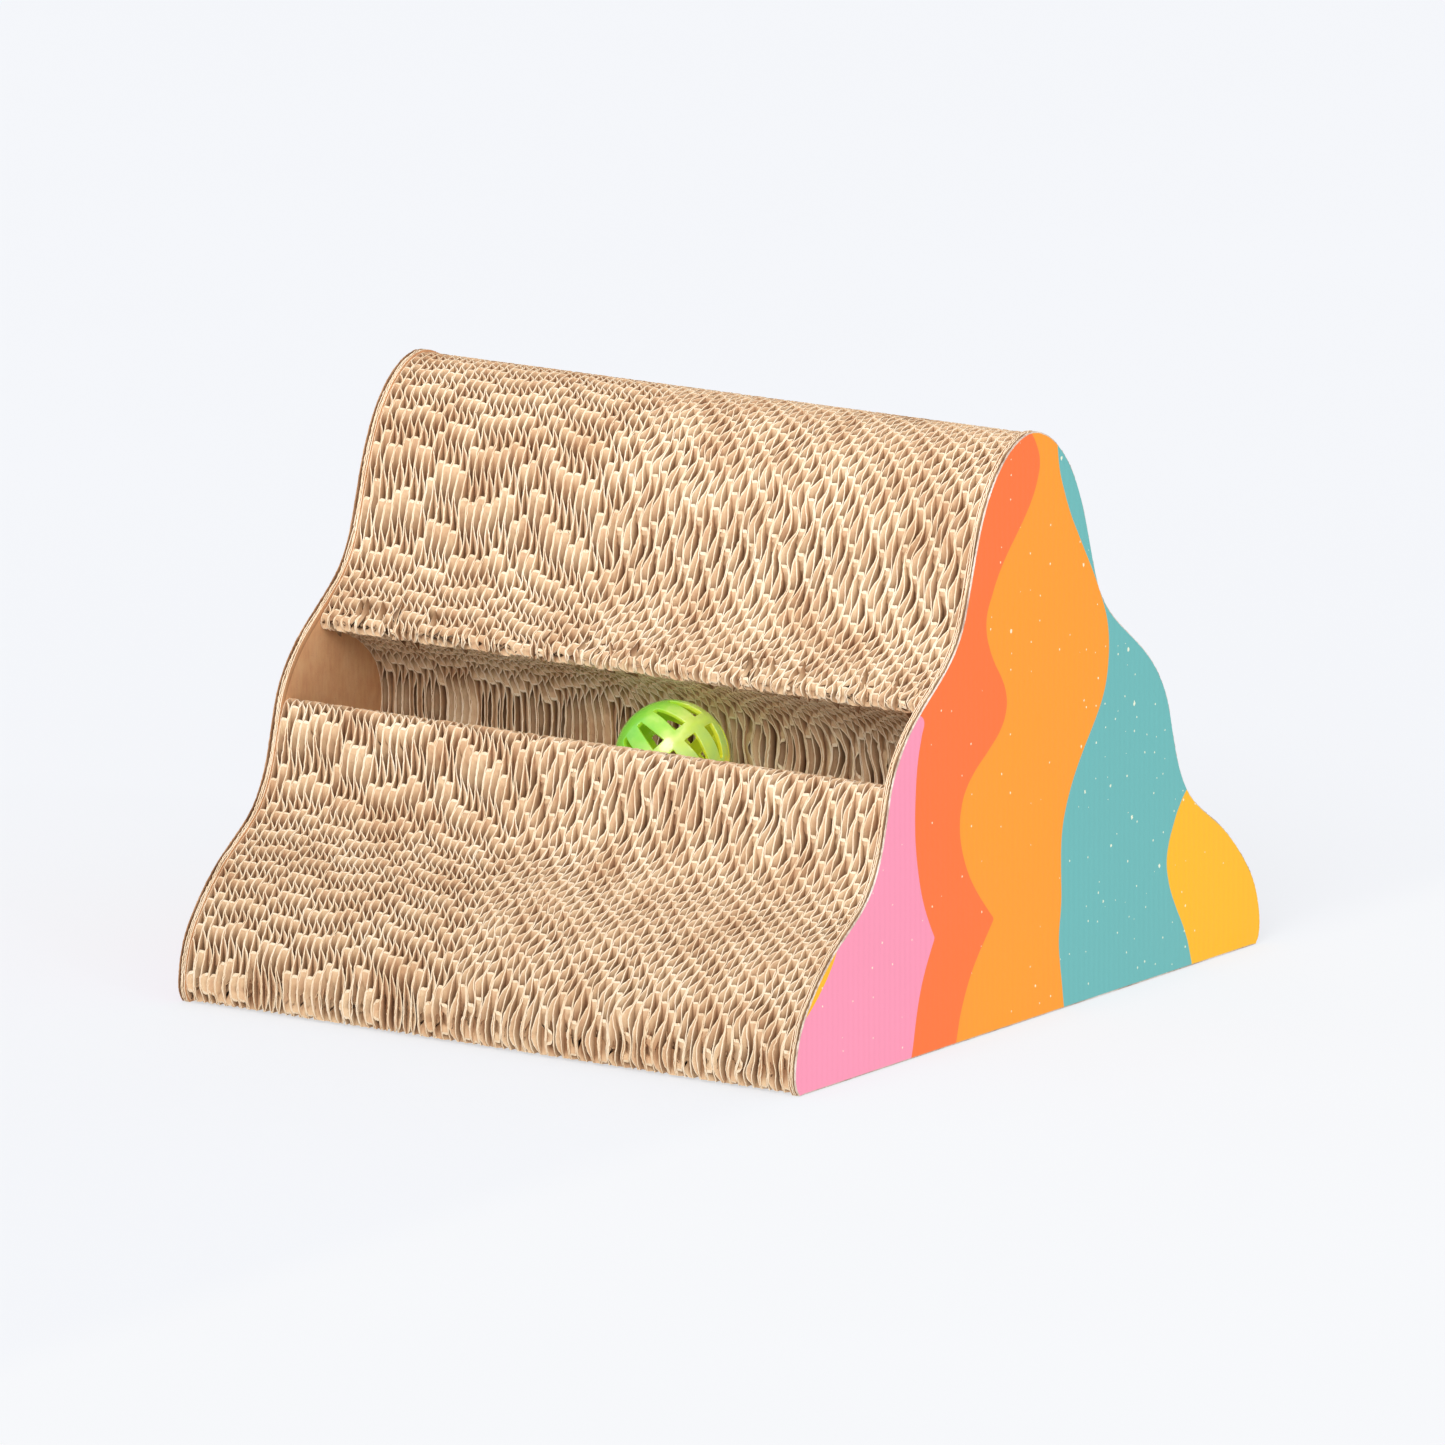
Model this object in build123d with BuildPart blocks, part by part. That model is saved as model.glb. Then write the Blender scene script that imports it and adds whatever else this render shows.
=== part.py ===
from build123d import *
import math
import os

# Corrugated-cardboard cat scratcher in the shape of a wavy hill, with a ball track along its front.
# Eighty die-cut sheets of single-wall corrugated board stand side by side and are glued face to face.
# Their cut edges are the scratching surface. A printed board closes each end, and a slotted plastic
# ball with a jingle bell inside rolls in the track and is too large to leave by its mouth.
#
# Frame: millimetres, +Z up, X along the stack of sheets, -Y towards the track.
# Origin: on the floor, midway between the two ends and midway between front and back.

# ---- driving dimensions -------------------------------------------------------------------------
SHEETS = 80            # die-cut sheets in the core
SHEETS_PER_PACK = 5    # sheets kept together in one node
LINER = 0.35           # flat facing paper of the board
FLUTE = 2.40           # height of the fluted layer, B flute
BOARD = LINER + FLUTE + LINER
GLUE = 0.07            # glue line between neighbouring sheets
PITCH = BOARD + GLUE
CORE = SHEETS * PITCH + GLUE          # inner distance between the two end boards
HALF = CORE / 2                       # inner face of each end board

EDGE = 0.8             # the end boards stand this much proud of the core all round

BALL_R = 20.0          # outside radius of the ball
BALL_WALL = 2.0
BALL_X, BALL_Y = 16.6, -54.0
TRACK_FLOOR = 68.4     # lowest line of the track
BALL_GAP = 0.3
BALL_Z = TRACK_FLOOR + BALL_GAP + BALL_R
SLOTS = 12             # slots in each half of the ball
SLOT_LOW, SLOT_TOP = 7.0, 44.0        # latitudes between which a slot runs, degrees
SLOT_W = 4.0           # width of a slot at the rim

BELL_R = 7.0           # outside radius of the bell
BELL_WALL = 0.5
BELL_Z = BALL_Z - (BALL_R - BALL_WALL) + BELL_R + 0.35
PELLET_R = 2.0
PELLET_Z = BELL_Z - (BELL_R - BELL_WALL) + PELLET_R + 0.3

# ---- outline of the hill ------------------------------------------------------------------------
# Half width against height, from the crest down to the floor. Three bulges: the crest, one at the
# height of the track, and the foot.
HILL = [
    (0.0, 207.3), (8.5, 205.4), (15.5, 201.2), (21.0, 195.9), (25.8, 189.5), (29.4, 182.8),
    (33.0, 174.0), (36.0, 164.5), (39.0, 154.5), (42.6, 145.0), (48.2, 136.8), (56.6, 129.3),
    (66.0, 122.2), (74.6, 114.6), (81.0, 106.6), (85.3, 98.4), (87.9, 89.8), (90.2, 80.8),
    (93.5, 71.4), (99.5, 61.8), (108.8, 54.0), (118.6, 47.4), (127.4, 39.8), (134.6, 31.8),
    (140.2, 23.6), (143.4, 14.8), (144.4, 7.2), (143.6, 2.4), (141.6, 0.0),
]


def inset(points, by):
    """The same line moved inwards by a small distance, square to itself."""
    out = []
    for i, (y, z) in enumerate(points):
        a = points[max(i - 1, 0)]
        b = points[min(i + 1, len(points) - 1)]
        ty, tz = b[0] - a[0], b[1] - a[1]
        n = math.hypot(ty, tz)
        if i == 0:
            ty, tz, n = 1.0, 0.0, 1.0
        out.append((y + tz / n * by, z - ty / n * by))
    return out


CORE_HILL = inset(HILL, EDGE)
CORE_HILL = CORE_HILL[:-2] + [(142.8, 2.7), (140.8, 0.0)]      # flat on the floor, like the end boards

# Front of the core, split by the mouth of the track.
FRONT_UPPER = [(-y, z) for y, z in CORE_HILL[:11]] + [(-55.6, 128.9), (-60.8, 124.6)]
FRONT_LOWER = [(-84.6, 95.6)] + [(-y, z) for y, z in CORE_HILL[16:]]
NOSE = [(-60.8, 124.6), (-62.8, 121.2), (-60.6, 117.6)]
# Track, from the nose round the back wall and along the floor to the lower lip.
TRACK = [
    (-60.6, 117.6), (-53.0, 116.0), (-43.5, 112.4), (-33.6, 105.8), (-28.0, 98.0), (-26.0, 88.0),
    (-28.6, 77.8), (-35.4, 71.6), (-44.6, 69.1), (-54.0, TRACK_FLOOR), (-63.2, 69.4), (-71.0, 73.2),
    (-75.6, 80.0), (-76.8, 87.6), (-77.4, 93.6),
]
LIP = [(-77.4, 93.6), (-80.6, 97.2), (-84.6, 95.6)]

with BuildSketch() as board_outline:  # the end boards: the whole hill, with no track
    with BuildLine():
        Spline(*HILL[::-1], *[(-y, z) for y, z in HILL[1:]])
        Line((-HILL[-1][0], 0), (HILL[-1][0], 0))
    make_face()

with BuildSketch() as sheet_outline:  # a core sheet: the hill with the track cut out of its front
    with BuildLine():
        Spline(*CORE_HILL[::-1], *FRONT_UPPER[1:])
        ThreePointArc(*NOSE)
        Spline(*TRACK)
        ThreePointArc(*LIP)
        Spline(*FRONT_LOWER)
        Line((-CORE_HILL[-1][0], 0), (CORE_HILL[-1][0], 0))
    make_face()

os.makedirs("parts", exist_ok=True)


def write(name, label):
    name.part.label = label
    export_step(name.part, f"parts/{label}.step")


# ---- core: packs of die-cut sheets ----------------------------------------------------------------
for pack in range(SHEETS // SHEETS_PER_PACK):
    with BuildPart() as core_sheets:
        for k in range(SHEETS_PER_PACK):
            x = -HALF + GLUE + (pack * SHEETS_PER_PACK + k) * PITCH
            with BuildSketch(Plane.YZ.offset(x)):
                add(sheet_outline.sketch)
            extrude(amount=BOARD)
    write(core_sheets, f"core_sheets_{pack + 1:02d}")

# ---- end boards: inner liner, fluted layer and printed face ------------------------------------------
for side, name in ((-1, "left"), (1, "right")):
    low = HALF
    for layer, thick in (("inner_liner", LINER), ("fluted_layer", FLUTE), ("printed_face", LINER)):
        with BuildPart() as board_layer:
            with BuildSketch(Plane.YZ.offset(side * low)):
                add(board_outline.sketch)
            extrude(amount=side * thick)
        write(board_layer, f"{name}_board_{layer}")
        low += thick

# ---- ball: two slotted shells that meet at a rim ---------------------------------------------------
POLE = Vector(-0.750, -0.096, 0.654).normalized()
MERIDIAN = Vector(0.4135, -0.8405, 0.3502)
MERIDIAN = (MERIDIAN - POLE * MERIDIAN.dot(POLE)).normalized()
CENTRE = Vector(BALL_X, BALL_Y, BALL_Z)
SLOT_MID = math.radians((SLOT_LOW + SLOT_TOP) / 2)
SLOT_DOWN = BALL_R * math.sin(SLOT_MID - math.radians(SLOT_LOW))
SLOT_UP = BALL_R * math.sin(math.radians(SLOT_TOP) - SLOT_MID)

for sign, name in ((1, "ball_upper_shell"), (-1, "ball_lower_shell")):
    up = POLE * sign
    section = Plane(origin=CENTRE, x_dir=MERIDIAN, z_dir=MERIDIAN.cross(up))
    with BuildPart() as ball_shell:
        with BuildSketch(section):
            with BuildLine():
                outer = CenterArc((0, 0), BALL_R, 0, 90)
                inner = CenterArc((0, 0), BALL_R - BALL_WALL, 0, 90)
                Line(outer @ 0, inner @ 0)
                Line(outer @ 1, inner @ 1)
            make_face()
        revolve(axis=Axis(CENTRE, up))
        for k in range(SLOTS):
            angle = math.radians(360 / SLOTS * k - 1.4)
            flat = MERIDIAN * math.cos(angle) + POLE.cross(MERIDIAN) * math.sin(angle)
            radial = flat * math.cos(SLOT_MID) + up * math.sin(SLOT_MID)
            towards_pole = up * math.cos(SLOT_MID) - flat * math.sin(SLOT_MID)
            across = towards_pole.cross(radial)
            with BuildSketch(Plane(origin=CENTRE + radial * 10, x_dir=across, z_dir=radial)) as slot:
                with BuildLine():
                    Polyline((-SLOT_W / 2, -SLOT_DOWN), (SLOT_W / 2, -SLOT_DOWN), (0.55, SLOT_UP), (-0.55, SLOT_UP), close=True)
                make_face()
                fillet(slot.vertices(), 0.5)
            extrude(amount=14, mode=Mode.SUBTRACT)
    write(ball_shell, name)

# ---- bell: two pressed cups, joined at a lap, with a loose pellet ------------------------------------
BELL = Vector(BALL_X, BALL_Y, BELL_Z)
with BuildPart() as bell_upper_cup:
    with BuildSketch(Plane.XZ.offset(-BELL.Y)):
        with BuildLine():
            a = CenterArc((BELL.X, BELL.Z), BELL_R, 0, 90)
            b = CenterArc((BELL.X, BELL.Z), BELL_R - BELL_WALL, 0, 90)
            Line(a @ 0, b @ 0)
            Line(a @ 1, b @ 1)
        make_face()
    revolve(axis=Axis(BELL, (0, 0, 1)))
    # Wire loop on the crown, standing along X.
    with BuildSketch(Plane.XZ.offset(-BELL.Y)):
        with Locations((BELL.X, BELL.Z + BELL_R + 0.9)):
            Circle(1.7)
            Circle(1.0, mode=Mode.SUBTRACT)
    extrude(amount=0.4, both=True)
write(bell_upper_cup, "bell_upper_cup")

with BuildPart() as bell_lower_cup:
    with BuildSketch(Plane.XZ.offset(-BELL.Y)):
        with BuildLine():
            a = CenterArc((BELL.X, BELL.Z), BELL_R, -90, 90)
            b = CenterArc((BELL.X, BELL.Z), BELL_R - BELL_WALL, -90, 90)
            Line(a @ 0, b @ 0)
            Line(a @ 1, b @ 1)
        make_face()
    revolve(axis=Axis(BELL, (0, 0, 1)))
    # Cross slot in the bottom, each arm ending in a round hole.
    with BuildSketch(Plane.XY.offset(BELL.Z - BELL_R - 1)):
        with Locations((BELL.X, BELL.Y)):
            Rectangle(9.6, 0.8)
            Rectangle(0.8, 9.6)
            with PolarLocations(4.8, 4):
                Circle(0.9)
    extrude(amount=6, mode=Mode.SUBTRACT)
write(bell_lower_cup, "bell_lower_cup")

with BuildPart(Plane(origin=(BALL_X, BALL_Y, PELLET_Z))) as bell_pellet:
    Sphere(PELLET_R)
write(bell_pellet, "bell_pellet")
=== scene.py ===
import math

import bpy
import numpy as np
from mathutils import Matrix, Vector


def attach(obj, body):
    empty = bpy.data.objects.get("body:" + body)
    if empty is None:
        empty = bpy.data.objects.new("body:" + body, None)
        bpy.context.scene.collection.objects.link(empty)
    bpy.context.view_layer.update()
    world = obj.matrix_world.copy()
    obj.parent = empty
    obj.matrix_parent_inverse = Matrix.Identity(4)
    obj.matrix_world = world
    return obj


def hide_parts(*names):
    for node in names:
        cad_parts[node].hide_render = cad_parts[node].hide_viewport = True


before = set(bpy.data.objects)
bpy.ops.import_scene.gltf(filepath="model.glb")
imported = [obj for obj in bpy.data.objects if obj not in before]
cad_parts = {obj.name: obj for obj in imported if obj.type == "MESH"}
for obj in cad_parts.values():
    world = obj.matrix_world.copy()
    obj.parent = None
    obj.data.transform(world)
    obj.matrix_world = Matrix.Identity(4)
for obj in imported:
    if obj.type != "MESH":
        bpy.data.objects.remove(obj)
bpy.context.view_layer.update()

MM = 0.001
rng = np.random.default_rng(7)

# ---- board, in millimetres, as in the CAD model -------------------------------------------------
SHEETS, PER_PACK = 80, 5
LINER, FLUTE, GLUE = 0.35, 2.40, 0.07
BOARD = LINER + FLUTE + LINER
PITCH = BOARD + GLUE
HALF = (SHEETS * PITCH + GLUE) / 2
PERIOD = 6.3            # flute to flute
LEAF = 0.48             # two glued facings, pressed together
MEDIUM = 0.33           # thickness of the fluted paper, swollen at the cut
AMP = (PITCH - LEAF - MEDIUM) / 2 + 0.02
LIFT = 0.6              # the core hangs a little above the floor between its end boards
BALL = np.array([16.6, -54.0, 88.7])
BALL_R = 20.0


def smooth(a, b, x):
    t = np.clip((x - a) / (b - a), 0, 1)
    return t * t * (3 - 2 * t)


# ---- outlines, read from the CAD solids ----------------------------------------------------------
def outline(node):
    """The outline of a sheet as two open paths of (y, z) in millimetres: over the top from the back
    corner to the front corner, and along the base from front to back."""
    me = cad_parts[node].data
    co = np.zeros(len(me.vertices) * 3)
    me.vertices.foreach_get("co", co)
    co = co.reshape(-1, 3) / MM
    low = co[:, 0].min()
    count = {}
    for p in me.polygons:
        v = list(p.vertices)
        if all(abs(co[i, 0] - low) < 1e-3 for i in v):
            for a, b in zip(v, v[1:] + v[:1]):
                k = (round(co[a, 1], 3), round(co[a, 2], 3)), (round(co[b, 1], 3), round(co[b, 2], 3))
                key = tuple(sorted(k))
                count[key] = count.get(key, 0) + 1
    near = {}
    for (a, b), n in count.items():
        if n == 1:
            near.setdefault(a, []).append(b)
            near.setdefault(b, []).append(a)
    base = [p for p in near if p[1] < 0.01]
    back, front = max(base), min(base)
    up = max(near[back], key=lambda q: q[1])
    path, prev, now = [back, up], back, up
    while now != front:
        nxt = [q for q in near[now] if q != prev][0]
        path.append(nxt)
        prev, now = now, nxt
    return np.array(path), np.array([front, back])


def resample(path, step):
    """Evenly spaced points along a path, ends kept."""
    d = np.r_[0, np.cumsum(np.hypot(*np.diff(path, axis=0).T))]
    n = max(2, int(round(d[-1] / step)))
    s = np.linspace(0, d[-1], n + 1)
    return np.c_[np.interp(s, d, path[:, 0]), np.interp(s, d, path[:, 1])]


def rounded(path, times):
    """Takes the facets of the CAD mesh out of a path without moving its ends."""
    p = path.copy()
    for _ in range(times):
        p[1:-1] = 0.25 * p[:-2] + 0.5 * p[1:-1] + 0.25 * p[2:]
    return p


class Rim:
    """Points round a closed outline, with tangents, inward normals, the direction the paper runs
    in from the cut, and how far it may run."""

    def __init__(self, p, t, n, into, limit, top):
        self.p, self.t, self.n, self.into, self.limit, self.top = p, t, n, into, limit, top
        self.facing = np.maximum((into * n).sum(1), 0.35)

    def rows(self, depths):
        run = np.array(depths)[:, None] / self.facing[None]
        run = run * np.minimum(1, self.limit / run[-1])[None]
        return self.p[None] + self.into[None] * run[:, :, None], run * self.facing[None]


def closed(node, step, base_step, lift=0.0):
    top, base = outline(node)
    top = rounded(resample(top, step), 3 if step < 0.6 else 2)
    if lift:
        top = top[top[:, 1] > lift + 0.15]
        top = np.vstack([[top[0, 0] + 0.05, lift], top, [top[-1, 0] - 0.05, lift]])
        base = np.array([top[-1], top[0]])
    base = resample(base, base_step)
    p = np.vstack([top[:-1], base[:-1]])
    nxt, prv = np.roll(p, -1, 0), np.roll(p, 1, 0)
    t = nxt - prv
    t /= np.maximum(np.hypot(*t.T), 1e-6)[:, None]
    return p, t, np.c_[-t[:, 1], t[:, 0]], np.arange(len(p)) < len(top)


def flat_rim(node, step, base_step, lift=0.0):
    """For the plain papers, which are inset square to their edge."""
    p, t, n, top = closed(node, step, base_step, lift)
    d = p[None] - p[:, None]
    dn = (d * n[:, None]).sum(-1)
    r = np.where(dn > 1e-3, (d**2).sum(-1) / (2 * np.maximum(dn, 1e-3)), 1e3).min(1)
    return Rim(p, t, n, n, 0.86 * r, top)


class WavyRim:
    """For the fluted papers. Their flutes run up and down, so from a cut the paper goes straight
    down or up, except where the cut itself is upright."""

    def __init__(self, node, lift=0.0):
        self.p, self.t, self.n, self.top = closed(node, 0.4, 0.8, lift)
        nz = self.n[:, 1]
        w = smooth(0.12, 0.42, np.abs(nz))[:, None]
        up = np.c_[np.zeros_like(nz), np.where(nz >= 0, 1.0, -1.0)]
        into = self.n * (1 - w) + up * w
        for _ in range(3):
            into = np.roll(into, 1, 0) + 2 * into + np.roll(into, -1, 0)
        self.into = into / np.hypot(*into.T)[:, None]
        a, e = self.p, np.roll(self.p, -1, 0) - self.p
        o = self.p + self.into * 0.2
        den = self.into[:, None, 0] * e[None, :, 1] - self.into[:, None, 1] * e[None, :, 0]
        den = np.where(np.abs(den) < 1e-9, 1e-9, den)
        q = a[None] - o[:, None]
        run = (q[..., 0] * e[None, :, 1] - q[..., 1] * e[None, :, 0]) / den
        pos = (q[..., 0] * self.into[:, None, 1] - q[..., 1] * self.into[:, None, 0]) / den
        hit = np.where((pos >= 0) & (pos <= 1) & (run > 0.2), run, 1e3).min(1)
        self.limit = np.minimum(0.46 * hit, 40)
        self.len = np.hypot(*e.T)

    def sample(self, x, fine):
        """Points spaced by how far the paper travels, so that its quick crossings get enough."""
        dx = np.abs(np.roll(x, -1) - x)
        w = np.hypot(self.len / 1.25, dx / 0.46) * np.where(self.top, 1.0, 0.45) / fine
        c = np.r_[0, np.cumsum(w)]
        n = int(round(c[-1]))
        i = np.interp(np.arange(n) * c[-1] / n, c, np.arange(len(c)))
        i[0] = 0
        k = i.astype(int) % len(self.p)
        f = (i - i.astype(int))[:, None]
        j = (k + 1) % len(self.p)
        mix = lambda v: v[k] * (1 - f) + v[j] * f
        p, t, m, into = mix(self.p), mix(self.t), mix(self.n), mix(self.into)
        for v in (t, m, into):
            v /= np.maximum(np.hypot(*v.T), 1e-6)[:, None]
        limit = mix(self.limit[:, None])[:, 0]
        return Rim(p, t, m, into, limit, self.top[k])


# ---- how the flutes fall and how the cut edges bend -----------------------------------------------
QUICK, REST, SLOW = 0.085, 0.26, 0.66


def flute(u, lean):
    """The fluted paper between the facings, -1 to 1, over one flute u. It leans: one flank is steep
    and the other long. lean 1 or -1 is which."""
    u = u - np.floor(u)
    w = -1 + 2 * (smooth(0.0, QUICK, u) - smooth(REST, SLOW, u))
    return w * lean


def hook(u, lean):
    """How far the steep flank arches over, in millimetres along the board."""
    u = u - np.floor(u)
    back = np.where(u < QUICK, smooth(0, QUICK, u), (1 - u) / (1 - QUICK))
    arch = np.sin(np.pi * np.clip(u / QUICK, 0, 1)) ** 0.8
    return -0.58 * back + (0.12 if lean > 0 else 0.04) * arch


def phases():
    """Where the flutes of each sheet fall, in flutes. Neighbours slip a little against each other,
    and the board jumps where a new run was started."""
    out, p = [], 0.3
    for k in range(SHEETS):
        if k < TURN:
            p -= rng.normal(0.08, 0.16)
            if rng.random() < 0.38:
                p += rng.uniform(0.2, 0.7)
        else:
            p -= rng.normal(0.31, 0.10)
            if rng.random() < 0.05:
                p -= rng.uniform(0.2, 0.5)
        out.append(p)
    return np.array(out)


TURN = 34               # from this sheet on the board was turned over, so its flutes lean the other way
PHASE = phases()
LEANS = np.where(np.arange(SHEETS) < TURN, 1, -1)
CENTRES = -HALF + (np.arange(SHEETS) + 0.5) * PITCH
_c = np.exp(6.28318j * PHASE)
_c = np.convolve(np.r_[_c[0], _c, _c[-1]], [0.25, 0.5, 0.25], "valid")

# Smooth random fields, as sums of a few waves.
WAVES = [
    (rng.uniform(0.008, 0.045), rng.uniform(0.006, 0.045), rng.uniform(0, 6.28), rng.choice([-1, 1]))
    for _ in range(9)
]


def field(x, s, seed):
    out = np.zeros(np.broadcast(x, s).shape)
    for i, (a, b, c, sg) in enumerate(WAVES):
        out = out + np.sin(6.283 * (a * x + sg * b * s) + c * (i + 1) + seed * (1.7 + i))
    return out / 3.0


SPOTS = ((-14.0, 126.0, 7.5), (76.0, 124.0, 6.0), (34.0, 122.0, 4.5), (-84.0, 124.0, 5.0))


def lip(y, z):
    """1 round the overhanging lip above the track."""
    return smooth(108, 116, z) * smooth(140, 126, z) * smooth(-52, -60, y)


def crush(x, y, z):
    out = 0.0
    for cx, cz, size in SPOTS:
        out = out + np.exp(-(((x - cx) / size) ** 2) - ((z - cz) / (0.8 * size)) ** 2)
    return out * smooth(-45, -55, y)


def bend(x, y, z, d):
    """Sideways shift of a point of the core, in millimetres, at depth d under the cut surface."""
    g = np.clip(1 - d / 8.0, 0, 1) ** 1.7
    g = g * smooth(0.0, 7.0, HALF - np.abs(x)) * smooth(0.5, 10.0, z)
    cr = np.interp(x, CENTRES, _c.real) + 1j * np.interp(x, CENTRES, _c.imag)
    th = -6.28318 * y / PERIOD
    right = smooth(-26, -6, x)
    w = (cr * np.exp(1j * (th + 2.2))).imag
    s = 1.2 * z + 0.4 * y
    amount = 0.02 + right * (0.60 + 0.32 * field(x, s, 3.0))
    # Each facing is pushed sideways where a flute stands against it.
    at = (x + HALF) / PITCH
    k = np.clip(np.floor(at).astype(int), 0, SHEETS - 1)
    f = np.clip(at - k, 0, 1)
    push = {j: flute(y / PERIOD - PHASE[np.clip(k + j, 0, SHEETS - 1)], LEANS[np.clip(k + j, 0, SHEETS - 1)]) for j in (-1, 0, 1)}
    here = np.maximum(push[-1], 0) - np.maximum(-push[0], 0)
    there = np.maximum(push[0], 0) - np.maximum(-push[1], 0)
    out = (0.38 - 0.18 * right) * ((1 - f) * here + f * there)
    out = out + amount * w + (0.32 + 0.50 * right) * field(x, s, 1.0) + 0.25 * right
    out = out + 0.40 * lip(y, z) * np.sin(0.55 * z + 2.5 * field(x, s, 5.0) + 0.35 * x)
    out = out + 0.20 * crush(x, y, z) * np.sin(0.55 * z + 0.4 * x + 2 * field(x, s, 2.0))
    return g * out


# ---- mesh builders --------------------------------------------------------------------------------
class Builder:
    """Gathers grids of quads, and a few many-sided caps, into one mesh."""

    def __init__(self):
        self.v, self.loops, self.start, self.m, self.s, self.n, self.c = [], [], [], [], [], 0, 0
        self.deep = []

    def add(self, v, q, m, s=True, deep=None):
        q = np.asarray(q)
        self.deep.append(np.zeros(len(v)) if deep is None else deep.ravel())
        self.v.append(v)
        self.loops.append((q + self.n).ravel())
        self.start.append(self.c + np.arange(len(q)) * q.shape[1])
        self.c += q.size
        self.m.append(np.full(len(q), m))
        self.s.append(np.full(len(q), s))
        self.n += len(v)

    def make(self, name, mats):
        me = bpy.data.meshes.new(name)
        v, loops, start = np.vstack(self.v), np.concatenate(self.loops), np.concatenate(self.start)
        me.vertices.add(len(v))
        me.vertices.foreach_set("co", (v * MM).astype(np.float32).ravel())
        me.loops.add(len(loops))
        me.loops.foreach_set("vertex_index", loops.astype(np.int32))
        me.polygons.add(len(start))
        me.polygons.foreach_set("loop_start", start.astype(np.int32))
        me.polygons.foreach_set("material_index", np.concatenate(self.m).astype(np.int32))
        me.polygons.foreach_set("use_smooth", np.concatenate(self.s).astype(bool))
        for m in mats:
            me.materials.append(m)
        me.update(calc_edges=True)
        # The depth attribute that the kraft materials paint shade by.
        me.attributes.new("deep", "FLOAT", "POINT").data.foreach_set("value", np.concatenate(self.deep).astype(np.float32))
        me.validate()
        o = bpy.data.objects.new(name, me)
        bpy.context.scene.collection.objects.link(o)
        return o


def band(rows, cols, flip=False):
    """Quads of a grid of rows x cols points, closed round the columns."""
    j = np.arange(cols)
    k = (j + 1) % cols
    q = []
    for i in range(rows - 1):
        a = np.c_[i * cols + j, i * cols + k, (i + 1) * cols + k, (i + 1) * cols + j]
        q.append(a[:, ::-1] if flip else a)
    return np.vstack(q)


def ragged(n, size, r):
    """Random fray along an edge, part fine teeth and part slower wear."""
    a = r.normal(0, 1, n)
    b = np.convolve(r.normal(0, 1, n + 6), np.ones(7) / 7, "valid")
    return size * (0.75 * a + 1.3 * b)


def paper(b, rim, depths, middle, thick, r, fray, deform=True, cap=False, mats=(0, 1)):
    """One paper of the board as a closed solid: two sides, the cut edge all round, and either flat
    caps over its middle or, for the fluted paper, an inner edge deep inside.
    middle(y) gives its x, the slope dx/dy and how far it arches."""
    pts, d = rim.rows(depths)
    rows, cols = d.shape
    x, slope, arch = middle(pts[:, :, 0])
    tooth = np.abs(ragged(cols, fray, r)) * np.where(rim.top, 1.0, 0.2)
    low, deep = rim.p[:, 0], rim.p[:, 1]
    if deform:
        worn = lip(low, deep) * r.uniform(0, 0.55)
        tooth = tooth + worn + 0.45 * crush(x[0], low, deep) * r.uniform(0.0, 1.0)
    corner = np.r_[0, np.flatnonzero(rim.top[:-1] & ~rim.top[1:])]
    tooth[corner] = 0
    tooth = np.minimum(tooth, 0.5 * d[-1])
    fall = np.clip(1 - d / 3.0, 0, 1)
    fall[0] = 1
    shift = tooth[None] * fall
    y = pts[:, :, 0] + rim.n[None, :, 0] * shift
    z = pts[:, :, 1] + rim.n[None, :, 1] * shift
    side = ragged(cols, fray * 0.42, r)
    fade = np.zeros(rows)
    fade[:2] = 1, 0.4
    x = x + side[None] * fade[:, None]
    nx = 1 / np.sqrt(1 + slope**2)
    ny = -slope * nx
    # A paper that crosses the board is cut slantwise, so its edge is as broad as the slope makes it.
    ty, tz = rim.t[None, :, 0], rim.t[None, :, 1]
    thicker = np.array([1.0, 0.7, 0.3, 0, 0, 0, 0])[:rows, None]
    per = ty / (ty**2 + 0.035)
    sides = []
    for sgn in (-1, 1):
        h = sgn * thick / 2
        swell = 1 + thicker * (0.40 * ny**4 if middle.lean > 0 else 0.45 * ny**2)
        slide = np.clip((h * ny * swell + arch) * per, -1.7, 1.7)
        X = x + h * nx
        Y = y + slide * ty
        Z = np.maximum(z + slide * tz, 0.0)
        if deform:
            X = X + bend(X, Y, Z, d + shift)
        sides.append(np.c_[X.ravel(), Y.ravel(), Z.ravel()])
    quads = band(rows, cols)
    # How deep each point lies under the cut; the kraft materials paint shade by it.
    deep = smooth(0.1, 3.6, d + 0 * x)
    b.add(sides[0], quads[:, ::-1], mats[0], True, deep)
    b.add(sides[1], quads, mats[0], True, deep)
    b.add(np.vstack([sides[0][:cols], sides[1][:cols]]), band(2, cols), mats[1], False)
    last = (rows - 1) * cols
    if cap:
        ring = np.arange(cols)[None]
        b.add(sides[0][last:], ring[:, ::-1], mats[0], False)
        b.add(sides[1][last:], ring, mats[0], False)
    else:
        b.add(np.vstack([sides[0][last:], sides[1][last:]]), band(2, cols, True), mats[0], False)


# ---- materials -------------------------------------------------------------------------------------
def srgb(r, g, b):
    f = lambda c: (c / 255 / 12.92) if c / 255 <= 0.04045 else ((c / 255 + 0.055) / 1.055) ** 2.4
    return (f(r), f(g), f(b), 1.0)


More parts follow.
